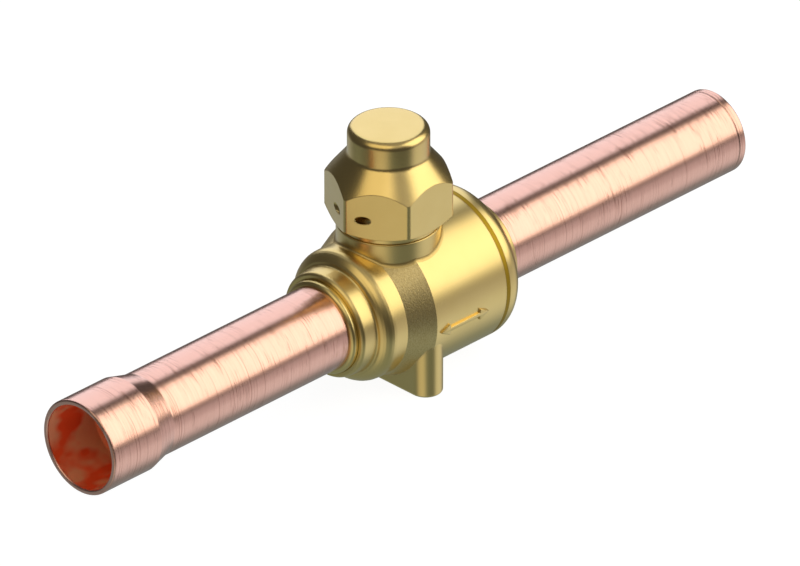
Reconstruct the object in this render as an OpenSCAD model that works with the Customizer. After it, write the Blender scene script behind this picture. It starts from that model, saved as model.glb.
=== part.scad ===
// Shut-off ball valve with solder ends, for refrigerant lines.
// The tubes lie along X with the solder socket at -X, and the stem stands along +Z.
// The origin is the point of the foot's underside that is right below the stem.

/* [Tubes] */
// Outer diameter of both copper tubes
tube_od = 15.88; // [14:0.01:17.5]
// Wall of the copper tubes
tube_wall = 1.0; // [0.8:0.05:1.3]
// Distance from the stem axis to the mouth of the inlet socket
inlet_reach = 76.85; // [60:0.05:120]
// Distance from the stem axis to the end of the outlet tube
outlet_reach = 82.65; // [60:0.05:120]
// Depth of the solder socket at full width
socket_depth = 11.5; // [8:0.1:16]
// Length over which the socket narrows to the tube
socket_taper = 4.2; // [2:0.1:8]
// Radial room that solder needs in a socket
solder_gap = 0.08; // [0.05:0.01:0.12]
// Distance from the outlet's end to its score line
score_from_end = 1.65; // [1:0.05:4]
// Depth of the score line
score_depth = 0.12; // [0.05:0.01:0.3]
// Rounding of the tube mouths
mouth_round = 0.3; // [0.1:0.05:0.4]

/* [Ball and seats] */
// Width of the band on the ball that the seats bear on
seal_land = 0.84; // [0.6:0.02:1.4]
// Room between the ball and the wall of its chamber
ball_room = 0.3; // [0.2:0.05:0.6]
// Running gap between the ball and a seat
ball_gap = 0.03; // [0.02:0.01:0.06]
// Length of a seat along the tube axis
seat_length = 4.3; // [3.6:0.1:6]
// How far a seat reaches past its contact circle towards the stem axis
seat_lip = 0.78; // [0.5:0.02:1]
// Wall of a seat outside the ball's surface
seat_rim = 1.06; // [0.8:0.02:1.6]
// Room behind a seat that lets it float
seat_float = 0.2; // [0.1:0.05:0.4]
// Width of the slot in the ball
slot_width = 4.2; // [3:0.1:5]
// Length of the slot in the ball
slot_length = 10.4; // [8:0.1:11]
// Thickness of brass left between the slot and the bore
slot_floor = 1.36; // [1:0.02:2]
// Thickness of the round seal ring behind a seat
seat_ring_d = 1.32; // [1:0.02:1.5]

/* [Body] */
// Wall of the barrel outside the ball chamber
barrel_wall = 3.3; // [2.6:0.1:5]
// Distance from the stem axis to the inlet end of the barrel
barrel_start = 2.4; // [1.5:0.1:4]
// Length of the cone that joins the barrel to the band
taper_length = 5.25; // [3:0.05:6]
// Wall of the band outside the inlet seat pocket
band_wall = 2.94; // [2.2:0.02:4]
// Radius of the round end of the band
band_round = 2.9; // [1:0.1:3.2]
// Depth to which the inlet tube sits in the collar
inlet_seat_depth = 3.8; // [3:0.1:8]
// Length of the collar round the inlet tube
collar_length = 3.05; // [2.4:0.05:3.2]
// Wall of the collars outside the tubes
collar_wall = 2.0; // [1.7:0.05:2.6]
// Depth of the recess that holds the inlet's braze ring
recess_depth = 1.0; // [0.6:0.1:1.4]
// Width of a braze ring outside its tube
braze_width = 0.9; // [0.6:0.05:1.1]
// How far the inlet's braze ring stands out of its recess
braze_proud = 1.3; // [0.6:0.1:1.6]

/* [Foot] */
// Width of the foot along the tube axis
foot_width = 6.2; // [5:0.1:9]
// Distance from the stem axis back to the middle of the foot
foot_back = 1.6; // [0:0.1:2]
// How far the foot stands out below the barrel
foot_proud = 0.1; // [0.05:0.05:8]
// Distance between the foot's two threaded holes
foot_spacing = 21.8; // [18:0.1:23]
// Drilled diameter of the foot's threaded holes
foot_hole_d = 2.5; // [2:0.1:3.3]
// Depth of the foot's threaded holes
foot_hole_depth = 5.4; // [4:0.1:6]
// Rounding of the foot's lower edge
foot_round = 0.5; // [0.2:0.1:1]

/* [End connector] */
// Distance from the outlet seat pocket to the weld line
spigot_back = 3.6; // [2.5:0.1:6]
// Width of the weld seam
seam_width = 0.9; // [0.6:0.1:1.4]
// Depth of the weld seam
seam_depth = 1.3; // [0.8:0.1:2]
// Length of full-width rim behind the weld seam
rim_length = 0.6; // [0.3:0.1:3]
// Radius of the connector's shoulder
shoulder_round = 3.2; // [2:0.1:3.6]
// Length of the outlet collar
outlet_collar = 1.3; // [1:0.1:4]
// Depth to which the outlet tube sits in the connector
outlet_seat_depth = 6.1; // [4:0.1:8]
// Fitting gap between the connector's spigot and the body
spigot_gap = 0.05; // [0.02:0.01:0.1]

/* [Stem and neck] */
// Diameter of the stem in its bore
stem_d = 7.9; // [7:0.1:9]
// Running gap between the stem and its bore
stem_gap = 0.05; // [0.02:0.01:0.09]
// Thickness of the stem's flange
flange_height = 2.0; // [1.5:0.1:2.6]
// Width of the stem's flange outside the stem
flange_width = 1.5; // [1.2:0.1:1.9]
// Thickness of the thrust washer
washer_height = 0.96; // [0.6:0.02:1.4]
// Thickness of the round seal rings on the stem
stem_ring_d = 1.06; // [0.8:0.02:1.2]
// Distance between the two seal rings on the stem
stem_ring_pitch = 2.8; // [2.2:0.1:3.2]
// Wall of the neck outside the flange's bore
neck_wall = 3.8; // [3:0.1:5]
// Height of the neck's rim above the top of the barrel
neck_proud = 0.5; // [0.3:0.1:3]
// Width of the neck's rim outside the thread
rim_ledge = 1.45; // [1.3:0.05:2]
// Height of the threaded spigot above the neck's rim
thread_height = 7.5; // [7:0.1:10]
// Pitch of the cap thread
thread_pitch = 1.5; // [1:0.25:2]
// Depth of the cap thread
thread_depth = 0.5; // [0.3:0.05:0.7]
// Width across the flats of the stem's square
square_width = 5.4; // [4.6:0.1:5.8]
// Length of the square above its retaining ring
square_height = 5.8; // [4:0.1:8]

/* [Quarter-turn stop] */
// Angle through which the stem can turn
turn_angle = 90; // [80:5:90]
// Thickness of the stop washer
stop_height = 1.2; // [0.8:0.1:2]
// Outer diameter of the stop washer
stop_od = 14.0; // [13:0.1:15]
// Diameter of the stop pin
pin_d = 1.6; // [1.2:0.1:2]
// Radius of the circle on which the stop pin stands
pin_circle = 6.0; // [5.8:0.05:6.3]
// Depth to which the stop pin is pressed into the neck
pin_depth = 3.0; // [2:0.1:4]
// Thickness of the retaining ring
clip_height = 0.6; // [0.4:0.1:1]
// Width of the retaining ring
clip_width = 1.65; // [1.2:0.05:2]

/* [Cap] */
// Wall of the cap between its bore and a flat
cap_wall = 2.2; // [1.6:0.1:3.5]
// Gap between the thread crests and the cap's bore
cap_gap = 0.05; // [0.03:0.01:0.1]
// Height of the round skirt below the hexagon
skirt_height = 2.15; // [1:0.05:3]
// Height of the hexagon at its corners
hex_height = 6.6; // [5:0.1:12]
// Share of a corner's reach that the turning cuts off
corner_cut = 0.015; // [0:0.005:0.06]
// Fall of the dome for each millimetre of height
dome_slope = 0.8; // [0.7:0.02:0.95]
// Wall of the plug at the top of the cap
plug_wall = 2.2; // [1.6:0.1:3]
// Rounding of the plug's upper edge
plug_round = 1.5; // [0.4:0.1:2]
// Radius of the hollow between the dome and the plug
plug_fillet = 1.4; // [0.5:0.1:2]
// Free height above the stem inside the cap
headroom = 1.1; // [0.6:0.1:3]
// Thickness of the plug's roof
roof = 2.9; // [1.6:0.1:4]
// Thickness of the cap gasket
gasket_height = 0.5; // [0.3:0.05:1]
// Width of the cap gasket
gasket_width = 0.65; // [0.5:0.05:0.7]
// Diameter of the sealing-wire hole
wire_hole_d = 1.6; // [1.2:0.1:1.8]
// Height of the sealing-wire hole above the hexagon's underside
wire_hole_height = 2.9; // [2:0.1:5]
// Turn of the hexagon about the stem axis
hex_turn = 3.1; // [0:0.1:60]

/* [Hidden] */
$fn = 96;
arc_steps = 6;
far = 60;

// Tubes and their seats
tube_r = tube_od / 2;
port_r = tube_r - tube_wall;
socket_r = tube_r + solder_gap;
seat_tube_r = tube_r - 0.04;
sizing_cone = 0.8;

// Ball and seats, by the contact circle at 45 degrees
contact_r = port_r + seal_land;
ball_r = contact_r * sqrt(2);
seat_front = contact_r - seat_lip;
seat_back = seat_front + seat_length;
seat_bore_r = port_r + 0.06;
seat_r = sqrt(ball_r * ball_r - seat_front * seat_front) + seat_rim;
pocket_r = seat_r + 0.05;
pocket_floor = seat_back + seat_float;
pocket_mouth = sqrt(ball_r * ball_r - pocket_r * pocket_r) + 0.6;
chamber_r = ball_r + ball_room;
slot_z = port_r + slot_floor;
seat_groove = seat_ring_d + 0.06;

// Body, with distances to the inlet side counted as positive
barrel_r = chamber_r + barrel_wall;
axis_height = barrel_r + foot_proud;
band_r = pocket_r + band_wall;
band_start = barrel_start + taper_length;
band_end = pocket_floor - 1.2;
tube_stop = pocket_floor + 1.1;
collar_face = tube_stop + inlet_seat_depth;
collar_back = collar_face - collar_length;
collar_r = socket_r + collar_wall;
recess_r = tube_r + braze_width + 0.05;

// End connector
spigot_r = chamber_r - spigot_gap;
seam_x = pocket_floor + spigot_back;
rim_x = seam_x + seam_width + rim_length;
collar_x = rim_x + shoulder_round + 1.7;
connector_end = collar_x + outlet_collar;
outlet_stop = connector_end - outlet_seat_depth;
outlet_collar_r = collar_r - 0.3;
outlet_recess = 0.8;
outlet_braze_proud = 0.3;

// Stem and neck, with heights counted from the tube axis
stem_r = stem_d / 2;
stem_bore_r = stem_r + stem_gap;
flange_r = stem_r + flange_width;
flange_bore_r = flange_r + 0.15;
flange_z = chamber_r;
gland_z = flange_z + flange_height + washer_height + 0.04;
rim_z = barrel_r + neck_proud;
neck_r = flange_bore_r + neck_wall;
thread_r = neck_r - rim_ledge;
neck_top = rim_z + thread_height;
ring_groove_r = stem_bore_r - stem_ring_d - 0.04;
ring_groove_w = stem_ring_d + 0.34;
lower_ring_z = gland_z + 2.0;
upper_ring_z = lower_ring_z + stem_ring_pitch;
square_r = square_width / 2 * sqrt(2);

// Stop and retaining ring
stop_z = neck_top + 0.05;
clip_z = stop_z + stop_height + 0.1;
clip_bore_r = square_width / 2 + 0.25;
clip_r = clip_bore_r + clip_width;
stem_top = clip_z + clip_height + 0.05 + square_height;
pin_side = asin((pin_d / 2 + 0.05) / pin_circle);
pin_at = turn_angle / 2;

// Cap
cap_bore_r = thread_r + cap_gap;
gasket_in_r = cap_bore_r + 0.05;
gasket_r = gasket_in_r + gasket_width;
skirt_r = gasket_r + 0.5;
hex_z = rim_z + 0.05 + skirt_height;
hex_flat_r = cap_bore_r + cap_wall;
hex_corner_r = hex_flat_r / cos(30);
turned_r = hex_corner_r * (1 - corner_cut);
hex_top = hex_z + hex_height;
attic_r = max(cap_bore_r - 0.3, stop_od / 2 + 0.3);
attic_z = clip_z;
plug_bore_r = clip_r + 0.6;
plug_r = plug_bore_r + plug_wall;
dome_top = hex_top + (turned_r - plug_r) / dome_slope;
fillet_rise = (sqrt(1 + dome_slope * dome_slope) - 1) / dome_slope;
cap_inner_top = stem_top + headroom;
cap_top = cap_inner_top + roof;

// Points of a quarter round from one angle to another
function arc(cx, cy, r, from, to) =
    [for (i = [0:arc_steps]) let (a = from + (to - from) * i / arc_steps)
        [cx + r * cos(a), cy + r * sin(a)]];

// Places a shape turned about Z so that its heights run along the tube axis, towards +X
module along_tubes() {
    translate([0, 0, axis_height]) rotate([0, 90, 0]) children();
}

// The same towards the inlet, -X
module towards_inlet() {
    translate([0, 0, axis_height]) rotate([0, -90, 0]) children();
}

// Places a shape whose heights are counted from the tube axis
module on_axis() {
    translate([0, 0, axis_height]) children();
}

// A straight hole or pin between two heights
module rod(r, from, to) {
    translate([0, 0, from]) cylinder(r = r, h = to - from);
}

// A flat ring between two heights
module ring(r_in, r_out, from, to) {
    difference() {
        rod(r_out, from, to);
        rod(r_in, from - 1, to + 1);
    }
}

// A round seal ring of thickness d whose outside is at r
module seal_ring(r, d, z) {
    translate([0, 0, z]) rotate_extrude() translate([r - d / 2, 0]) circle(d = d, $fn = 32);
}

// The outside of the barrel, band and collar, from the stem axis to the inlet
module barrel_outside() {
    towards_inlet() rotate_extrude() polygon(concat(
        [[0, -seam_x], [barrel_r, -seam_x], [barrel_r, barrel_start],
            [band_r, band_start]],
        arc(band_r - band_round, band_end, band_round, 0, 65),
        arc(collar_r + 0.58, collar_back, 0.4, 245, 180),
        arc(collar_r - 1, collar_face - 0.85, 1, 0, 50),
        [[collar_r - 0.42, collar_face], [0, collar_face]]));
}

// The foot: two upright lugs and the web between them, with a rounded lower edge
module foot_outside() {
    r = foot_width / 2;
    half = [for (p = concat([[0, 0]], arc(r - foot_round, foot_round, foot_round, -90, 0),
        [[r, axis_height - 2], [0, axis_height - 2]])) p];
    for (side = [-1, 1])
        translate([-foot_back, side * foot_spacing / 2, 0]) rotate_extrude() polygon(half);
    translate([-foot_back, foot_spacing / 2, 0]) rotate([90, 0, 0]) linear_extrude(foot_spacing)
        union() {
            polygon(half);
            mirror([1, 0]) polygon(half);
        }
}

// The neck and the threaded spigot on it
module neck_outside() {
    crests = floor((thread_height - 2.2) / thread_pitch);
    root = thread_r - thread_depth;
    start = rim_z + 1.4;
    on_axis() rotate_extrude() polygon(concat(
        [[0, 0], [neck_r, 0]],
        arc(neck_r - 0.25, rim_z - 0.25, 0.25, 0, 90),
        [[root, rim_z]],
        [for (i = [0:crests - 1], p = [[root, 0], [thread_r, 0.3], [thread_r, 0.5], [root, 0.8]])
            [p[0], start + i * thread_pitch + p[1] * thread_pitch]],
        [[root, neck_top - 0.3], [root - 0.3, neck_top], [0, neck_top]]));
}

// Everything that is bored along the tube axis in the body
module barrel_bores() {
    along_tubes() rod(chamber_r, -pocket_mouth, seam_x + 1);
    towards_inlet() rod(pocket_r, 0, pocket_floor);
    towards_inlet() rod(port_r, 0, collar_face + 1);
    towards_inlet() rod(socket_r, tube_stop, collar_face + 1);
    towards_inlet() rod(recess_r, collar_face - recess_depth, collar_face + 1);
}

// Everything that is bored along the stem axis in the neck
module neck_bores() {
    on_axis() {
        rod(flange_bore_r, 0, gland_z);
        rod(stem_bore_r, 0, neck_top + 1);
        stop_pin_place() rod(pin_d / 2, neck_top - pin_depth, neck_top + 1);
    }
}

module stop_pin_place() {
    rotate([0, 0, pin_at]) translate([pin_circle, 0, 0]) children();
}

module foot_holes() {
    for (side = [-1, 1])
        translate([-foot_back, side * foot_spacing / 2, 0])
            rod(foot_hole_d / 2, -1, foot_hole_depth);
}

module body() color("#C8AE62") difference() {
    union() {
        barrel_outside();
        foot_outside();
        neck_outside();
    }
    barrel_bores();
    neck_bores();
    foot_holes();
}

// Turned end piece: spigot, rim, rounded shoulder, cone and collar
module end_connector() color("#D2B768") difference() {
    along_tubes() rotate_extrude() polygon(concat(
        [[0, pocket_mouth], [spigot_r, pocket_mouth], [spigot_r, seam_x],
            [barrel_r - seam_depth, seam_x], [barrel_r - seam_depth, seam_x + seam_width],
            [barrel_r, seam_x + seam_width]],
        arc(barrel_r - shoulder_round, rim_x, shoulder_round, 0, 48),
        [[outlet_collar_r + 0.2, collar_x]],
        arc(outlet_collar_r - 0.25, connector_end - 0.25, 0.25, 0, 90),
        [[0, connector_end]]));
    along_tubes() {
        rod(pocket_r, 0, pocket_floor);
        rod(port_r, 0, connector_end + 1);
        rod(socket_r, outlet_stop, connector_end + 1);
        rod(recess_r, connector_end - outlet_recess, connector_end + 1);
    }
}

module weld_seam() color("#B59A36") along_tubes()
    ring(barrel_r - seam_depth, barrel_r, seam_x, seam_x + seam_width);

// Copper tube whose end is widened to take a tube of the same size
module inlet_tube() color("#D9A48F") {
    mouth_r = socket_r + tube_wall;
    straight = inlet_reach - socket_depth;
    neck_x = straight - socket_taper;
    towards_inlet() rotate_extrude() polygon(concat(
        [[port_r, tube_stop], [tube_r, tube_stop], [tube_r, neck_x], [mouth_r, straight]],
        arc(mouth_r - mouth_round, inlet_reach - mouth_round, mouth_round, 0, 90),
        arc(socket_r + mouth_round, inlet_reach - mouth_round, mouth_round, 90, 180),
        [[socket_r, straight + 0.25], [port_r, neck_x + 0.25]]));
}

// Plain copper tube, sized down a little where it sits in the connector, with a slight cone
// under the braze ring where it comes back to full size
module outlet_tube() color("#D9A48F") {
    free = connector_end + outlet_braze_proud + 0.1;
    score = outlet_reach - score_from_end;
    along_tubes() rotate_extrude() polygon(concat(
        [[port_r, outlet_stop], [seat_tube_r, outlet_stop], [seat_tube_r, free - sizing_cone],
            [tube_r, free], [tube_r, score - 0.15], [tube_r - score_depth, score],
            [tube_r, score + 0.15]],
        arc(tube_r - mouth_round, outlet_reach - mouth_round, mouth_round, 0, 90),
        arc(port_r + mouth_round, outlet_reach - mouth_round, mouth_round, 90, 180)));
}

// Rounded ring of filler round a tube, between two distances from the stem axis
module braze_ring(from, to) {
    nose = braze_width - 0.1;
    rotate_extrude() polygon(concat(
        [[tube_r, from], [tube_r + braze_width, from]],
        arc(tube_r + braze_width - nose, to - nose, nose, 0, 90),
        [[tube_r, to]]));
}

module inlet_braze_ring() color("#D8B84F") towards_inlet()
    braze_ring(collar_face - recess_depth, collar_face + braze_proud);

module outlet_braze_ring() color("#D8B84F") along_tubes()
    braze_ring(connector_end - outlet_recess, connector_end + outlet_braze_proud);

// Full-bore ball with a closed-ended slot on top for the stem's tongue
module ball() color("#C9CCD0") on_axis() difference() {
    sphere(r = ball_r, $fn = 144);
    rotate([0, 90, 0]) rod(port_r, -far, far);
    slot_shape(slot_width, slot_length, slot_z, far);
}

// A bar with rounded ends, lying along Y
module slot_shape(width, length, from, to) {
    reach = (length - width) / 2;
    translate([0, 0, from]) linear_extrude(to - from) union() {
        square([width, 2 * reach], center = true);
        for (side = [-1, 1]) translate([0, side * reach]) circle(d = width);
    }
}

// Seat with a spherical face, and a groove behind it for its seal ring
module seat() {
    difference() {
        rod(seat_r, seat_front, seat_back);
        rod(seat_bore_r, seat_front - 1, seat_back + 1);
        sphere(r = ball_r + ball_gap, $fn = 144);
        ring(seat_r - seat_groove, seat_r + 1, pocket_floor - seat_groove, seat_back + 1);
    }
}

module inlet_seat() color("#F2F1EC") towards_inlet() seat();

module outlet_seat() color("#F2F1EC") along_tubes() seat();

module inlet_seat_ring() color("#26262A") towards_inlet()
    seal_ring(pocket_r - 0.02, seat_ring_d, pocket_floor - seat_ring_d / 2 - 0.02);

module outlet_seat_ring() color("#26262A") along_tubes()
    seal_ring(pocket_r - 0.02, seat_ring_d, pocket_floor - seat_ring_d / 2 - 0.02);

// Stem: tongue, flange, sealed shaft and square, with a mark along the ball's bore on top
module stem() color("#B9BCC0") on_axis() difference() {
    union() {
        slot_shape(slot_width - 0.3, slot_length - 0.4, slot_z + 0.15, flange_z + 1);
        rod(flange_r, flange_z + 0.02, flange_z + flange_height);
        rod(stem_r, flange_z + 0.02, neck_top);
        intersection() {
            translate([-square_width / 2, -square_width / 2, neck_top - 1])
                cube([square_width, square_width, stem_top - neck_top + 1]);
            rotate_extrude() polygon([[0, 0], [square_r, 0], [square_r, stem_top - 1.2],
                [square_r - 1.2, stem_top], [0, stem_top]]);
        }
    }
    for (z = [lower_ring_z, upper_ring_z])
        ring(ring_groove_r, stem_r + 1, z - ring_groove_w / 2, z + ring_groove_w / 2);
    ring(clip_bore_r - 0.05, square_r + 1, clip_z - 0.05, clip_z + clip_height + 0.05);
    translate([-far / 2, -0.4, stem_top - 0.5]) cube([far, 0.8, 1]);
}

module thrust_washer() color("#F2F1EC") on_axis()
    ring(stem_r + 0.1, flange_r, gland_z - washer_height, gland_z);

module lower_stem_ring() color("#26262A") on_axis()
    seal_ring(stem_bore_r - 0.02, stem_ring_d, lower_ring_z);

module upper_stem_ring() color("#26262A") on_axis()
    seal_ring(stem_bore_r - 0.02, stem_ring_d, upper_ring_z);

// Washer on the square, with a notch as wide as the turn and the pin
module stop_washer() color("#9EA3A8") on_axis() difference() {
    rod(stop_od / 2, stop_z, stop_z + stop_height);
    hole = square_width + 0.1;
    translate([-hole / 2, -hole / 2, stop_z - 1]) cube([hole, hole, stop_height + 2]);
    translate([0, 0, stop_z - 1]) linear_extrude(stop_height + 2) difference() {
        polygon(concat([[0, 0]],
            [for (a = [pin_at - turn_angle - pin_side, pin_at - turn_angle / 2, pin_at + pin_side])
                [far * cos(a), far * sin(a)]]));
        circle(r = pin_circle - pin_d / 2 - 0.2);
    }
}

module stop_pin() color("#8E9297") on_axis()
    stop_pin_place() rod(pin_d / 2, neck_top - pin_depth, stop_z + stop_height + 0.1);

// Open spring ring in the notches of the square's corners
module retaining_ring() color("#54585C") on_axis() difference() {
    ring(clip_bore_r, clip_r, clip_z, clip_z + clip_height);
    translate([0, 0, clip_z - 1]) linear_extrude(clip_height + 2)
        polygon([[0, 0], [-far, -far / 2], [-far, far / 2]]);
}

module cap_gasket() color("#B87A5A") on_axis()
    ring(gasket_in_r, gasket_r, rim_z, rim_z + gasket_height);

// The cap's turned outline: skirt, hexagon, dome and plug
module cap_outline() {
    rotate_extrude() polygon(concat(
        [[0, rim_z + 0.05], [skirt_r - 0.1, rim_z + 0.05], [skirt_r, rim_z + 0.15],
            [skirt_r, hex_z], [turned_r - 0.15, hex_z], [turned_r, hex_z + 0.15],
            [turned_r, hex_top]],
        arc(plug_r + plug_fillet, dome_top + plug_fillet * fillet_rise, plug_fillet,
            180 + atan(dome_slope), 180),
        arc(plug_r - plug_round, cap_top - plug_round, plug_round, 0, 90),
        [[0, cap_top]]));
}

module cap() color("#D3B766") on_axis() difference() {
    intersection() {
        cap_outline();
        union() {
            rotate([0, 0, hex_turn]) translate([0, 0, hex_z])
                cylinder(r = hex_corner_r, h = far, $fn = 6);
            rod(skirt_r + 0.5, rim_z - 1, hex_z + 1);
        }
    }
    rod(gasket_r + 0.05, rim_z - 1, rim_z + gasket_height);
    rod(cap_bore_r, rim_z, attic_z);
    rotate_extrude() polygon([[0, attic_z - 1], [attic_r, attic_z - 1], [attic_r, attic_z],
        [plug_bore_r, attic_z + attic_r - plug_bore_r], [plug_bore_r, cap_inner_top],
        [0, cap_inner_top]]);
    translate([-(cap_bore_r + hex_corner_r) / 2, 0, hex_z + wire_hole_height])
        rotate([90, 0, 0]) rod(wire_hole_d / 2, -far / 4, far / 4);
}

body();
end_connector();
weld_seam();
inlet_tube();
outlet_tube();
inlet_braze_ring();
outlet_braze_ring();
ball();
inlet_seat();
outlet_seat();
inlet_seat_ring();
outlet_seat_ring();
stem();
thrust_washer();
lower_stem_ring();
upper_stem_ring();
stop_washer();
stop_pin();
retaining_ring();
cap_gasket();
cap();
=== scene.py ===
# %% [markdown]
# # A shut-off ball valve with solder ends
#
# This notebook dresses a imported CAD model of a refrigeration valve: a forged brass body with a
# hexagonal seal cap, and a copper tube brazed into each end. The CAD model is the fixed frame.
# Its pieces keep their places and sizes, and Blender gives them finishes, light and a camera,
# and the finer pieces that a CAD model leaves plain.

import math

import bpy
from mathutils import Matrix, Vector


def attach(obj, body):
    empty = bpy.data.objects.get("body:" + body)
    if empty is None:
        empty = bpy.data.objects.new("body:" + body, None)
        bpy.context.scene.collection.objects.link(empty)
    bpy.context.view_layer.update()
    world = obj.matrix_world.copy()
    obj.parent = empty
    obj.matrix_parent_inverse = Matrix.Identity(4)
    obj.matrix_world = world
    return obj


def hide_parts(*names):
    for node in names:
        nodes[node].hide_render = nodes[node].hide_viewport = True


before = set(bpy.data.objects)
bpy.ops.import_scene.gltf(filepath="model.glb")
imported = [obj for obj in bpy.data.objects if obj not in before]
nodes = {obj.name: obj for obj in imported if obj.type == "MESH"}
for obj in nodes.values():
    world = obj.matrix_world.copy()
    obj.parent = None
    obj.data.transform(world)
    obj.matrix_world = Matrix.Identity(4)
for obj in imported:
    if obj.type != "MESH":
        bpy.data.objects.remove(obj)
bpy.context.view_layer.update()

MM = 0.001

# %% [markdown]
# ## The camera
#
# A product picture like this one is drawn almost without perspective: the two tubes look equally
# thick, although one is nearer. A very long lens far away gives that look and still is a real
# camera. It looks along the diagonal between +X and +Y, tipped down by 30 degrees, so that a
# circle round the tubes and a circle on the floor show equally open.

# %% Place the camera
TUBE_HEIGHT = 14.7026 * MM
VIEW_WIDTH = 141.94 * MM
LENS_MM, SENSOR_MM = 1200, 36
TIP_DOWN = math.radians(30)
TURN = math.radians(-45)
SHIFT_RIGHT, SHIFT_UP = 2.02 * MM, 1.80 * MM

look = Vector((-math.sin(TURN) * math.cos(TIP_DOWN), math.cos(TURN) * math.cos(TIP_DOWN),
               -math.sin(TIP_DOWN)))
rightward = Vector((math.cos(TURN), math.sin(TURN), 0))
upward = rightward.cross(look)
aim = Vector((0, 0, TUBE_HEIGHT)) + rightward * SHIFT_RIGHT + upward * SHIFT_UP
distance = VIEW_WIDTH * LENS_MM / SENSOR_MM

camera_data = bpy.data.cameras.new("camera")
camera_data.lens, camera_data.sensor_width = LENS_MM, SENSOR_MM
camera_data.clip_start, camera_data.clip_end = 0.1, 100
camera = bpy.data.objects.new("camera", camera_data)
bpy.context.scene.collection.objects.link(camera)
camera.location = aim - look * distance
camera.rotation_euler = (math.pi / 2 - TIP_DOWN, 0, TURN)
bpy.context.scene.camera = camera
bpy.context.scene.view_settings.view_transform = "Standard"
print(f"camera {distance:.2f} m away, {VIEW_WIDTH / MM:.0f} mm of width in view")

# %% [markdown]
# ## Colours and nodes
#
# Colours are written as the hex values that a paint program shows, and one function turns them
# into the linear light that the shaders count in. One more function adds a node, sets it and
# links its inputs, so that every material below reads from top to bottom.
# An input is named as Blender names it, with _ for a space, or counted as i0, i1 and so on.


# %% Helpers for colours and nodes
def hex_colour(code):
    """An sRGB hex code as linear RGBA."""
    parts = [int(code[i:i + 2], 16) / 255 for i in (1, 3, 5)]
    return [p / 12.92 if p <= 0.04045 else ((p + 0.055) / 1.055) ** 2.4 for p in parts] + [1]


def add(tree, kind, settings=None, **inputs):
    """Adds a node. settings are its own options, inputs are values or sockets to link."""
    node = tree.nodes.new(kind)
    for name, value in (settings or {}).items():
        setattr(node, name, value)
    for name, value in inputs.items():
        key = int(name[1:]) if name[0] == "i" and name[1:].isdigit() else name.replace("_", " ")
        if isinstance(value, bpy.types.NodeSocket):
            tree.links.new(value, node.inputs[key])
        else:
            node.inputs[key].default_value = value
    return node


def ramp(tree, factor, stops):
    """A colour ramp with grey stops: (place, grey)."""
    node = add(tree, "ShaderNodeValToRGB", Fac=factor)
    for n, (place, grey) in enumerate(stops):
        stop = node.color_ramp.elements[n] if n < 2 else node.color_ramp.elements.new(place)
        stop.position, stop.color = place, (grey, grey, grey, 1)
    return node.outputs["Color"]


def new_tree(block):
    """An empty node tree on a material or world, with its output node."""
    block.use_nodes = True
    block.node_tree.nodes.clear()
    owner = "World" if isinstance(block, bpy.types.World) else "Material"
    return block.node_tree, add(block.node_tree, "ShaderNodeOutput" + owner)


def show(tree, output, shader):
    """Puts a shader on the output."""
    tree.links.new(shader.outputs[0], output.inputs["Surface"])


def blend(tree, factor, low, high):
    """A shader between two, by a factor."""
    return add(tree, "ShaderNodeMixShader", i0=factor, i1=low.outputs[0], i2=high.outputs[0])


# %% [markdown]
# ## The studio
#
# Metal has hardly a colour of its own to show: it shows the studio. This one is a dim room with
# five soft panels, as seen from the valve: a strong key in front on the right, a warmer panel on
# the left, a faint one between them, a cool one behind and a small one overhead. Four patches
# below the horizon stand for the table, brightest where the key lights it. The dark gaps between
# the panels matter as much as the panels do: they draw the thin dark lines along tubes.
# A softbox is flat, so each panel is a rectangle in the flat view that one has looking straight
# at its middle. Its half width and half height are measured in distances to that middle.
# The world adds the panels up, and shows plain white to the camera.


# %% Light the studio
def maths(tree, operation, *values):
    """The result of one Math node."""
    inputs = {f"i{n}": value for n, value in enumerate(values)}
    return add(tree, "ShaderNodeMath", {"operation": operation}, **inputs).outputs[0]


def fade(tree, value, middle, softness):
    """1 below the middle, 0 above it, with a soft step."""
    return add(tree, "ShaderNodeMapRange", {"interpolation_type": "SMOOTHSTEP"}, Value=value,
               From_Min=middle - softness, From_Max=middle + softness, To_Min=1.0,
               To_Max=0.0).outputs[0]


EDGE_ON = 0.05


def panel(tree, direction, azimuth, elevation, half_width, half_height, softness):
    """How much of a soft rectangle a direction hits, from 0 to 1. Angles are in degrees."""
    turn, rise = math.radians(azimuth), math.radians(elevation)
    to_middle = Vector((math.cos(turn) * math.cos(rise), math.sin(turn) * math.cos(rise),
                        math.sin(rise)))
    across = Vector((-math.sin(turn), math.cos(turn), 0))
    depth, side, height = (
        add(tree, "ShaderNodeVectorMath", {"operation": "DOT_PRODUCT"}, i0=direction,
            i1=axis).outputs["Value"]
        for axis in (to_middle, across, to_middle.cross(across)))
    front = maths(tree, "MAXIMUM", depth, EDGE_ON)
    parts = [fade(tree, maths(tree, "ABSOLUTE", maths(tree, "DIVIDE", way, front)), half, softness)
             for way, half in ((side, half_width), (height, half_height))]
    return maths(tree, "MULTIPLY", maths(tree, "GREATER_THAN", depth, EDGE_ON),
                 maths(tree, "MULTIPLY", *parts))


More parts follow.
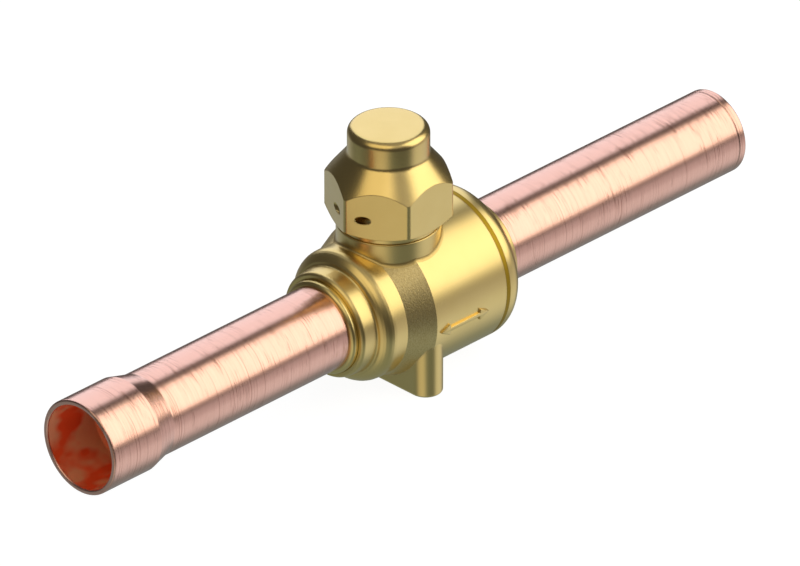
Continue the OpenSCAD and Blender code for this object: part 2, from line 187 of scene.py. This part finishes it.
# azimuth and elevation in degrees, half width, half height, softness, strength, colour
PANELS = {
    "key": (-44, 32, 0.56, 0.52, 0.13, 1.74, "#FFFCF0"),
    "left": (-164, 45, 0.52, 0.38, 0.14, 1.0, "#FFF3D2"),
    "between": (-112, 42, 0.35, 0.30, 0.20, 0.35, "#FFFFFF"),
    "behind": (54, 33, 0.41, 0.62, 0.04, 1.36, "#E6ECF8"),
    "overhead": (-90, 88, 0.50, 0.50, 0.40, 0.26, "#FFFFFF"),
    "table": (0, -90, 1.9, 1.9, 0.7, 0.38, "#B4C9CA"),
    "table_right": (-36, -28, 0.54, 0.42, 0.22, 0.60, "#EFEEF5"),
    "table_left": (-161, -30, 0.40, 0.40, 0.25, 0.50, "#FFF2D8"),
    "table_behind": (81, -30, 0.40, 0.35, 0.25, 0.25, "#E8F0FF"),
}
ROOM = 0.07

world = bpy.data.worlds.new("studio")
bpy.context.scene.world = world
tree, output = new_tree(world)
direction = add(tree, "ShaderNodeTexCoord").outputs["Generated"]
room = add(tree, "ShaderNodeBackground", Color=(1, 1, 1, 1), Strength=ROOM)
for name, (azimuth, elevation, wide, high, softness, strength, colour) in PANELS.items():
    share = panel(tree, direction, azimuth, elevation, wide, high, softness)
    lit = add(tree, "ShaderNodeBackground", Color=hex_colour(colour),
              Strength=maths(tree, "MULTIPLY", share, strength))
    room = add(tree, "ShaderNodeAddShader", i0=room.outputs[0], i1=lit.outputs[0])
white = add(tree, "ShaderNodeBackground", Color=(1, 1, 1, 1), Strength=1)
ray = add(tree, "ShaderNodeLightPath")
show(tree, output, blend(tree, ray.outputs["Is Camera Ray"], room, white))
print(len(PANELS), "soft panels, the strongest of strength", max(p[5] for p in PANELS.values()))

# %% [markdown]
# ## The floor
#
# The floor is white to the camera, with only a share of the true shadow left in it, so the picture
# keeps a white ground and the valve still stands on something. The metal doesn't mirror the floor
# itself, it mirrors the soft patches of light that stand for it in the studio, below the horizon.

# %% Lay the floor
FLOOR_SIZE, FLOOR_GLOW, SHADOW_SHARE = 6, 1.17, 0.20


def floor_material():
    material = bpy.data.materials.new("pale_studio_floor")
    tree, output = new_tree(material)
    shown = add(tree, "ShaderNodeBsdfDiffuse", Color=hex_colour("#FAFAFA"))
    glow = add(tree, "ShaderNodeEmission", Color=(1, 1, 1, 1), Strength=FLOOR_GLOW)
    show(tree, output, blend(tree, 1 - SHADOW_SHARE, shown, glow))
    return material


bpy.ops.object.select_all(action="DESELECT")
bpy.ops.mesh.primitive_plane_add(size=FLOOR_SIZE)
floor = bpy.context.object
floor.name = "floor"
floor.visible_glossy = False
floor.data.materials.append(floor_material())

# %% [markdown]
# ## Drawn copper, brushed round the tube
#
# The tubes are cleaned for brazing by an abrasive that spins round them. It leaves very fine rings,
# and here and there a deeper bundle of scratches. Along a ring the pattern hardly changes, across
# it it changes every fraction of a millimetre, so the noise is stretched: fine along X, coarse in
# Y and Z. The bore's red and orange patches are painted light: they stand in for the light that
# bounces round inside the tube.


# %% Copper
BEVEL_SAMPLES, EDGE_MM = 4, 0.25


def skinned(tree, colour, rough, normal, metallic=1.0):
    """A shader, of metal unless told otherwise. Colour and roughness may be sockets or values."""
    return add(tree, "ShaderNodeBsdfPrincipled", Base_Color=colour, Metallic=metallic,
               Roughness=rough, Normal=normal)


def stretched(tree, step_mm, detail=2.0, rough=0.5):
    """Noise with its own step along X, Y and Z, in millimetres, on object coordinates."""
    place = add(tree, "ShaderNodeTexCoord")
    scaled = add(tree, "ShaderNodeMapping", Vector=place.outputs["Object"],
                 Scale=[1 / (s * MM) for s in step_mm])
    return add(tree, "ShaderNodeTexNoise", Vector=scaled.outputs[0], Scale=1.0, Detail=detail,
               Roughness=rough).outputs["Fac"]


def mixed(tree, factor, low, high):
    """A colour between two, by a factor socket."""
    return add(tree, "ShaderNodeMix", {"data_type": "RGBA"}, i0=factor, i6=low,
               i7=high).outputs[2]


def off_axis(tree):
    """A point's place along the tube axis and its distance from it, in metres."""
    place = add(tree, "ShaderNodeTexCoord").outputs["Object"]
    along = add(tree, "ShaderNodeSeparateXYZ", Vector=place).outputs["X"]
    across = add(tree, "ShaderNodeVectorMath", {"operation": "MULTIPLY_ADD"}, i0=place,
                 i1=(0, 1, 1), i2=(0, 0, -TUBE_HEIGHT)).outputs["Vector"]
    radius = add(tree, "ShaderNodeVectorMath", {"operation": "LENGTH"}, i0=across)
    return along, radius.outputs["Value"]


def close_to(tree, value, middle, reach):
    """1 where a value is nearer to the middle than the reach, else 0."""
    away = maths(tree, "ABSOLUTE", maths(tree, "SUBTRACT", value, middle))
    return maths(tree, "LESS_THAN", away, reach)


# the middle of the tube's wall, in the socket and behind the socket's conical end
SOCKET_END, TUBE_START = -65.65 * MM, -62.5 * MM
SOCKET_WALL_R, TUBE_WALL_R = 8.5 * MM, 7.44 * MM
# the mouths lie a little further out than this reach from the middle of both tubes
TUBES_MIDDLE, INNER_REACH = 2.9 * MM, 79.4 * MM


def brushed_copper():
    """Copper with rings and scratches outside, and patches of painted bounced light in the bore."""
    material = bpy.data.materials.new("drawn_copper_brushed_round")
    tree, output = new_tree(material)
    rings = stretched(tree, (0.13, 12, 12), 4, 0.75)
    deep = ramp(tree, stretched(tree, (0.15, 7, 7), 2, 0.6), [(0, 0), (0.57, 0), (0.64, 1), (1, 1)])
    bundle = ramp(tree, stretched(tree, (3, 5, 5), 2), [(0, 0), (0.46, 0), (0.62, 1), (1, 1)])
    line = ramp(tree, stretched(tree, (0.2, 30, 30), 1), [(0, 0), (0.66, 0), (0.72, 1), (1, 1)])
    scratch = maths(tree, "MAXIMUM", maths(tree, "MULTIPLY", deep, bundle),
                    maths(tree, "MULTIPLY", line, 0.6))
    tint = mixed(tree, rings, hex_colour("#F6C6B4"), hex_colour("#E2AB97"))
    colour = mixed(tree, scratch, tint, hex_colour("#C8917E"))
    rough = add(tree, "ShaderNodeMapRange", Value=rings, To_Min=0.15, To_Max=0.28)
    edge = add(tree, "ShaderNodeBevel", {"samples": BEVEL_SAMPLES}, Radius=EDGE_MM * MM)
    fine = add(tree, "ShaderNodeBump", Strength=0.4, Distance=0.02 * MM, Height=rings,
               Normal=edge.outputs[0])
    groove = add(tree, "ShaderNodeBump", {"invert": True}, Strength=0.3, Distance=0.03 * MM,
                 Height=scratch, Normal=fine.outputs[0])
    bright = skinned(tree, colour, rough.outputs[0], groove.outputs[0])

    along, radius = off_axis(tree)
    middle_of_wall = add(tree, "ShaderNodeMapRange", Value=along, From_Min=SOCKET_END,
                         From_Max=TUBE_START, To_Min=SOCKET_WALL_R, To_Max=TUBE_WALL_R)
    inside = maths(tree, "MULTIPLY", close_to(tree, along, TUBES_MIDDLE, INNER_REACH),
                   maths(tree, "LESS_THAN", radius, middle_of_wall.outputs[0]))
    # painted light: the bore's red and orange patches, half matte, stand in for light bounced round
    # inside the tube
    bounced_light_patches = ramp(tree, stretched(tree, (7, 5, 5), 2), [(0, 0), (0.4, 0), (0.58, 1), (1, 1)])
    bounced_light_tint = mixed(tree, bounced_light_patches, hex_colour("#FF6C38"), hex_colour("#FFC898"))
    painted_bore = skinned(tree, bounced_light_tint, 0.3, fine.outputs[0], metallic=0.55)
    show(tree, output, blend(tree, inside, bright, painted_bore))
    return material


copper = brushed_copper()

# %% [markdown]
# ## Brass
#
# The body is forged and then shot-blasted, which leaves a fine even grain. Where it is turned, as
# on the barrel, the band, the cap and the end connector, the skin is smooth, with a satin gloss.
# The bevel node rounds every edge by a fraction of a millimetre in the shading, as tumbling does.
# The weld seam and the brazing filler are brass too. Only the cone between band and barrel still
# shows the blasted skin. The body is one CAD node, so its finish has both skins, and picks the
# blasted one where a point lies on that cone: at the cone's own distance from the tube axis.


# %% Brass
def satin(tree, colour, shade, grain_mm, grain_depth, rough, edge_mm=EDGE_MM):
    """A shader of satin brass with a cloudy tint, a fine grain and rounded edges."""
    grain = stretched(tree, (grain_mm,) * 3, 2, 0.6)
    cloud = stretched(tree, (6, 6, 6), 2, 0.5)
    tint = mixed(tree, cloud, hex_colour(colour), hex_colour(shade))
    gloss = add(tree, "ShaderNodeMapRange", Value=cloud, To_Min=rough - 0.02, To_Max=rough + 0.02)
    edge = add(tree, "ShaderNodeBevel", {"samples": BEVEL_SAMPLES}, Radius=edge_mm * MM)
    skin = add(tree, "ShaderNodeBump", Strength=grain_depth, Distance=0.02 * MM, Height=grain,
               Normal=edge.outputs[0])
    return skinned(tree, tint, gloss.outputs[0], skin.outputs[0])


def brass(name, *look):
    """A material of satin brass."""
    material = bpy.data.materials.new(name)
    tree, output = new_tree(material)
    show(tree, output, satin(tree, *look))
    return material


# colour, shade, step of the grain in millimetres, its depth, roughness and edge radius
TURNED = ("#EBD08C", "#E5C981", 0.25, 0.14, 0.31)
turned_brass = brass("turned_brass_satin", *TURNED)
weld_brass = brass("brass_weld_seam", "#B8972F", "#A98828", 0.4, 0.3, 0.5, 0.1)
# painted shade: the fillet's brass is a little darker than the body's, as shade in the hollow at
# the neck's foot
fillet_brass_painted_darker = brass("brass_painted_darker_in_the_fillet", "#DCC07C", "#D2B46E", 0.25, 0.1, 0.4)
braze_brass = brass("brazing_filler", "#EAD28E", "#DFC680", 0.6, 0.15, 0.3, 0.1)
cap_brass = brass("milled_brass_cap", "#EACE8A", "#E2C47C", 0.22, 0.45, 0.26)

# %% The body's two skins
CONE_START, CONE_END = -7.65 * MM, -2.4 * MM
CONE_SMALL, CONE_LARGE = 12.55 * MM, 14.6 * MM
CONE_REACH = 0.15 * MM


def on_cone(tree):
    """1 where a point lies on the forged cone, else 0."""
    along, radius = off_axis(tree)
    slope = (CONE_LARGE - CONE_SMALL) / (CONE_END - CONE_START)
    wanted = maths(tree, "MULTIPLY_ADD", along, slope, CONE_SMALL - slope * CONE_START)
    return maths(tree, "MULTIPLY", close_to(tree, radius, wanted, CONE_REACH),
                 close_to(tree, along, (CONE_START + CONE_END) / 2, (CONE_END - CONE_START) / 2))


def forged_brass():
    """The turned skin everywhere but on the cone, where the blasted one shows."""
    material = bpy.data.materials.new("forged_brass_turned_and_blasted")
    tree, output = new_tree(material)
    turned = satin(tree, *TURNED)
    grain = stretched(tree, (0.3, 0.3, 0.3), 2, 0.7)
    tint = mixed(tree, grain, hex_colour("#FFE8A8"), hex_colour("#C8AA68"))
    skin = add(tree, "ShaderNodeBump", Strength=0.9, Distance=0.05 * MM, Height=grain)
    blasted = skinned(tree, tint, 0.38, skin.outputs[0])
    show(tree, output, blend(tree, on_cone(tree), turned, blasted))
    return material


body_brass = forged_brass()
print("the blasted cone runs from", CONE_START / MM, "to", CONE_END / MM, "mm")

# %% [markdown]
# ## What is hidden inside
#
# The ball is plated and polished, the seats are white PTFE, the seal rings are chloroprene rubber
# and the stem and its stop are turned steel. They show only when the cap is off or through the
# bore, and still get their real finish.

# %% Inner finishes
def plain(name, colour, shade, metallic, rough, grain_mm):
    """A finish with a faint grain in its colour, gloss and skin."""
    material = bpy.data.materials.new(name)
    tree, output = new_tree(material)
    grain = stretched(tree, (grain_mm,) * 3, 2, 0.5)
    tint = mixed(tree, grain, hex_colour(colour), hex_colour(shade))
    gloss = add(tree, "ShaderNodeMapRange", Value=grain, To_Min=rough * 0.85, To_Max=rough * 1.15)
    skin = add(tree, "ShaderNodeBump", Strength=0.2, Distance=0.01 * MM, Height=grain)
    show(tree, output, skinned(tree, tint, gloss.outputs[0], skin.outputs[0], metallic))
    return material


plating = plain("polished_chrome_plating", "#D3D6DA", "#C6CACF", 1.0, 0.08, 1.5)
ptfe = plain("white_ptfe", "#F2F1EC", "#E8E7E1", 0.0, 0.45, 0.8)
rubber = plain("chloroprene_rubber", "#26262A", "#1D1D20", 0.0, 0.6, 0.4)
steel = plain("turned_stainless_steel", "#C3C6CA", "#B2B6BB", 1.0, 0.28, 0.3)
spring = plain("phosphated_spring_steel", "#55585C", "#484B4F", 1.0, 0.5, 0.3)

FINISHES = {
    body_brass: ["body"],
    turned_brass: ["end_connector"],
    cap_brass: ["cap"],
    weld_brass: ["weld_seam"],
    braze_brass: ["inlet_braze_ring", "outlet_braze_ring"],
    copper: ["inlet_tube", "outlet_tube", "cap_gasket"],
    plating: ["ball"],
    ptfe: ["inlet_seat", "outlet_seat", "thrust_washer"],
    rubber: ["inlet_seat_ring", "outlet_seat_ring", "lower_stem_ring", "upper_stem_ring"],
    steel: ["stem", "stop_washer", "stop_pin"],
    spring: ["retaining_ring"],
}
for material, names in FINISHES.items():
    for name in names:
        nodes[name].data.materials.clear()
        nodes[name].data.materials.append(material)
print(sum(len(names) for names in FINISHES.values()), "of", len(nodes), "CAD nodes have a finish")

# %% [markdown]
# ## The seal cap
#
# The cap is turned from a hexagonal bar, so its shape is that of two simple bodies that cut each
# other: a turned body and a hexagonal bar. The turned body is drawn as a path of rings round the
# stem, from the ceiling inside, down the bore, round the skirt and up to the flat top. Where its
# slanted rings meet the bar's flats, the curved chamfer lines of a hexagon nut appear by
# themselves. The bar's six upright edges are rounded first, and they show as dark stripes between
# the flats.


# %% Helpers for modelling
SIDES = 144


def only(piece, keep):
    """Selects only the vertices of a piece that pass the test, and stays in edit mode."""
    bpy.ops.object.mode_set(mode="EDIT")
    bpy.ops.mesh.select_all(action="DESELECT")
    bpy.ops.object.mode_set(mode="OBJECT")
    for vertex in piece.data.vertices:
        vertex.select = keep(vertex.co)
    bpy.ops.object.mode_set(mode="EDIT")


def apply_all(piece):
    """Applies a piece's modifiers, top first."""
    bpy.ops.object.mode_set(mode="OBJECT")
    for modifier in list(piece.modifiers):
        bpy.ops.object.modifier_apply(modifier=modifier.name)


def quarter(centre_r, centre_z, radius, start, end, steps=6):
    """Points of an arc, as radius and height in millimetres, between two angles in degrees."""
    turns = [math.radians(start + (end - start) * i / steps) for i in range(steps + 1)]
    return [(centre_r + radius * math.cos(t), centre_z + radius * math.sin(t)) for t in turns]


def turned_piece(name, rings):
    """A solid of revolution round the stem, from rings of radius and height over the tube axis."""
    bpy.ops.object.select_all(action="DESELECT")
    (radius, height), *others = rings
    bpy.ops.mesh.primitive_circle_add(vertices=SIDES, radius=radius * MM, fill_type="NGON",
                                      location=(0, 0, TUBE_HEIGHT + height * MM))
    piece = bpy.context.object
    piece.name = name
    bpy.ops.object.transform_apply(location=True)
    bpy.ops.object.mode_set(mode="EDIT")
    for new_radius, new_height in others:
        rise = (0, 0, (new_height - height) * MM)
        bpy.ops.mesh.extrude_region_move(TRANSFORM_OT_translate={"value": rise})
        bpy.ops.transform.resize(value=(new_radius / radius, new_radius / radius, 1),
                                 center_override=(0, 0, TUBE_HEIGHT + new_height * MM))
        radius, height = new_radius, new_height
    bpy.ops.mesh.select_all(action="SELECT")
    bpy.ops.mesh.normals_make_consistent(inside=False)
    bpy.ops.object.mode_set(mode="OBJECT")
    return piece


def cut(piece, tool, operation):
    """Combines a piece with a tool by a Boolean modifier, and removes the tool."""
    boolean = piece.modifiers.new("cut", "BOOLEAN")
    boolean.operation, boolean.object, boolean.solver = operation, tool, "EXACT"
    bpy.ops.object.select_all(action="DESELECT")
    bpy.context.view_layer.objects.active = piece
    piece.select_set(True)
    apply_all(piece)
    bpy.data.objects.remove(tool)


# %% Model the cap
# all in millimetres, heights over the tube axis
HEX_TOP, HEX_BOTTOM, HEX_CORNER, HEX_ROUND, HEX_CHAMFER = 23.9, 16.4, 11.6, 10.05, 0.88
SKIRT_R, SKIRT_BOTTOM, SKIRT_EDGE, SKIRT_FILLET = 9.2, 15.15, 0.1, 0.3
BORE_R, BORE_TOP, BORE_BOTTOM, GASKET_R = 8.0, 23.95, 15.6, 8.75
STEM_ROOM_R, STEM_ROOM_TOP, STEM_ROOM_BOTTOM = 5.2, 31.5, 26.45
PLUG_R, PLUG_TOP, PLUG_RIM, HOLLOW_R, HOLLOW_HEIGHT = 7.4, 34.4, 1.5, 1.4, 29.645
BAR_CORNER, BAR_TURN, BAR_MIDDLE, BAR_ROUND = 11.778, math.radians(33.1), 25, 0.45
WIRE_HOLE_R, WIRE_HOLE_X, WIRE_HOLE_HEIGHT = 0.8, -9.89, 20.2
TOOL_LENGTH = 40

inside = [(STEM_ROOM_R, STEM_ROOM_TOP), (STEM_ROOM_R, STEM_ROOM_BOTTOM), (BORE_R - 0.3, BORE_TOP),
          (BORE_R, BORE_TOP), (BORE_R, BORE_BOTTOM), (GASKET_R, BORE_BOTTOM),
          (GASKET_R, SKIRT_BOTTOM)]
skirt = [(SKIRT_R - SKIRT_EDGE, SKIRT_BOTTOM), (SKIRT_R, SKIRT_BOTTOM + SKIRT_EDGE),
         (SKIRT_R, HEX_BOTTOM - SKIRT_FILLET)]
skirt += quarter(SKIRT_R + SKIRT_FILLET, HEX_BOTTOM - SKIRT_FILLET, SKIRT_FILLET, 180, 90, 3)[1:]
sides = [(HEX_ROUND, HEX_BOTTOM), (HEX_CORNER, HEX_BOTTOM + HEX_CHAMFER), (HEX_CORNER, HEX_TOP)]
# the hollow at the foot of the plug, and the plug's rounded rim
plug = quarter(PLUG_R + HOLLOW_R, HOLLOW_HEIGHT, HOLLOW_R, 218.66, 180)
plug += quarter(PLUG_R - PLUG_RIM, PLUG_TOP - PLUG_RIM, PLUG_RIM, 0, 90, 8)
cap = turned_piece("cap_milled", inside + skirt + sides + plug)

bpy.ops.object.select_all(action="DESELECT")
bpy.ops.mesh.primitive_cylinder_add(vertices=6, radius=BAR_CORNER * MM,
                                    depth=TOOL_LENGTH * MM, rotation=(0, 0, BAR_TURN),
                                    location=(0, 0, TUBE_HEIGHT + BAR_MIDDLE * MM))
bar = bpy.context.object
round_edges = bar.modifiers.new("round_edges", "BEVEL")
round_edges.width, round_edges.segments, round_edges.limit_method = BAR_ROUND * MM, 4, "ANGLE"
apply_all(bar)
cut(cap, bar, "INTERSECT")

bpy.ops.object.select_all(action="DESELECT")
bpy.ops.mesh.primitive_cylinder_add(vertices=32, radius=WIRE_HOLE_R * MM,
                                    depth=TOOL_LENGTH * MM, rotation=(math.pi / 2, 0, 0),
                                    location=(WIRE_HOLE_X * MM, 0,
                                              TUBE_HEIGHT + WIRE_HOLE_HEIGHT * MM))
cut(cap, bpy.context.object, "DIFFERENCE")
bpy.ops.object.shade_smooth_by_angle(angle=math.radians(24))
cap.data.materials.append(cap_brass)
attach(cap, "cap")
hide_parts("cap")
corners = [[f(v.co[i] for v in cap.data.vertices) / MM for i in range(3)] for f in (min, max)]
print("cap:", len(cap.data.polygons), "faces, mm:", [[round(c, 2) for c in p] for p in corners])

# %% [markdown]
# ## The fillet at the foot of the neck
#
# A forging has no sharp inner corner. Where the upright neck grows out of the round barrel, a
# small hollow runs round it, and it shows as a bright line. Its brass is painted a little darker
# than the body's, as painted shade in the hollow. A fillet between two crossing cylinders has no
# simple shape of its own, so a flat ring is laid round the neck, dropped onto the body with a
# Shrinkwrap modifier, and its inner rows are then lifted one by one along a quarter round.

# %% Lay the fillet
NECK_R, FILLET_R, ROWS, CLEARANCE = 9.4 * MM, 0.4 * MM, 4, 0.01 * MM
DROP_HEIGHT = 15.05 * MM


def row_radius(row):
    """How far a row of the fillet lies from the stem axis, row 0 at the neck."""
    return NECK_R + CLEARANCE + FILLET_R * (1 - math.cos(math.pi / 2 * row / ROWS))


bpy.ops.object.select_all(action="DESELECT")
bpy.ops.mesh.primitive_circle_add(vertices=SIDES, radius=row_radius(0),
                                  location=(0, 0, TUBE_HEIGHT + DROP_HEIGHT))
fillet = bpy.context.object
fillet.name = "neck_fillet"
bpy.ops.object.transform_apply(location=True)
bpy.ops.object.mode_set(mode="EDIT")
for row in range(1, ROWS + 1):
    growth = row_radius(row) / row_radius(row - 1)
    bpy.ops.mesh.extrude_edges_move()
    bpy.ops.transform.resize(value=(growth, growth, 1), center_override=(0, 0, TUBE_HEIGHT))
bpy.ops.object.mode_set(mode="OBJECT")
drop = fillet.modifiers.new("drop", "SHRINKWRAP")
drop.wrap_method, drop.target = "PROJECT", nodes["body"]
drop.use_project_z, drop.use_negative_direction, drop.use_positive_direction = True, True, False
apply_all(fillet)
for row in range(ROWS):
    only(fillet, lambda co: abs(math.hypot(co.x, co.y) - row_radius(row)) < CLEARANCE)
    lift = FILLET_R * (1 - math.sin(math.pi / 2 * row / ROWS))
    bpy.ops.transform.translate(value=(0, 0, lift))
bpy.ops.mesh.select_all(action="SELECT")
bpy.ops.mesh.normals_make_consistent(inside=False)
bpy.ops.object.mode_set(mode="OBJECT")
if fillet.data.polygons[0].normal.dot(Vector((0, 0, 1))) < 0:
    fillet.data.flip_normals()
bpy.ops.object.shade_smooth()
fillet.data.materials.append(fillet_brass_painted_darker)
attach(fillet, "housing")
print("fillet:", len(fillet.data.polygons), "faces, lowest point",
      round(min(v.co.z for v in fillet.data.vertices) / MM, 2), "mm")

# %% [markdown]
# ## The flow arrow
#
# Such a valve may be used in both directions, and an arrow with a head at each end stands in low
# relief on the barrel. It is drawn flat as one strip, from tip to tip, and made deep enough to
# reach into the barrel. A cylinder a little thicker than the barrel then trims its face to a round
# one, and a bevel takes the sharp edges off.

# %% Model the arrow
ARROW_Z, ARROW_TIP, ARROW_END, HEAD = TUBE_HEIGHT - 1.65 * MM, -1.35 * MM, 10.2 * MM, 2.1 * MM
SHAFT_HALF, HEAD_HALF, RELIEF = 0.36 * MM, 1.1 * MM, 0.38 * MM
FACE_Y, DEPTH, STEP = -20 * MM, 6.1 * MM, 0.06 * MM
TIP_SHARE, SOFT_EDGE = 0.06, 0.08 * MM

bpy.ops.object.select_all(action="DESELECT")
shaft = ARROW_END - ARROW_TIP - 2 * HEAD
bpy.ops.mesh.primitive_plane_add(size=1, rotation=(math.pi / 2, 0, 0),
                                 location=((ARROW_TIP + ARROW_END) / 2, FACE_Y, ARROW_Z))
arrow = bpy.context.object
arrow.name = "flow_arrow"
arrow.scale = (shaft, 2 * SHAFT_HALF, 1)
bpy.ops.object.transform_apply(location=True, rotation=True, scale=True)
for side, base in ((-1, ARROW_TIP + HEAD), (1, ARROW_END - HEAD)):
    only(arrow, lambda co: abs(co.x - base) < STEP / 2)
    for length, widening in ((STEP, HEAD_HALF / SHAFT_HALF), (HEAD, TIP_SHARE)):
        way = (side * length, 0, 0)
        bpy.ops.mesh.extrude_edges_move(TRANSFORM_OT_translate={"value": way})
        bpy.ops.transform.resize(value=(1, 1, widening), center_override=(base, FACE_Y, ARROW_Z))
bpy.ops.mesh.select_all(action="SELECT")
bpy.ops.mesh.extrude_region_move(TRANSFORM_OT_translate={"value": (0, DEPTH, 0)})
bpy.ops.mesh.select_all(action="SELECT")
bpy.ops.mesh.normals_make_consistent(inside=False)
bpy.ops.object.mode_set(mode="OBJECT")
bpy.ops.object.select_all(action="DESELECT")
bpy.ops.mesh.primitive_cylinder_add(vertices=256, radius=CONE_LARGE + RELIEF, depth=60 * MM,
                                    location=(0, 0, TUBE_HEIGHT), rotation=(0, math.pi / 2, 0))
cut(arrow, bpy.context.object, "INTERSECT")
soft = arrow.modifiers.new("soft", "BEVEL")
soft.width, soft.segments, soft.limit_method = SOFT_EDGE, 2, "ANGLE"
soft.angle_limit = math.radians(50)
apply_all(arrow)
bpy.ops.object.shade_smooth_by_angle(angle=math.radians(30))
arrow.data.materials.append(turned_brass)
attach(arrow, "housing")
print("arrow:", len(arrow.data.polygons), "faces, from x",
      [round(f(v.co.x for v in arrow.data.vertices) / MM, 2) for f in (min, max)], "and y",
      [round(f(v.co.y for v in arrow.data.vertices) / MM, 2) for f in (min, max)], "mm")
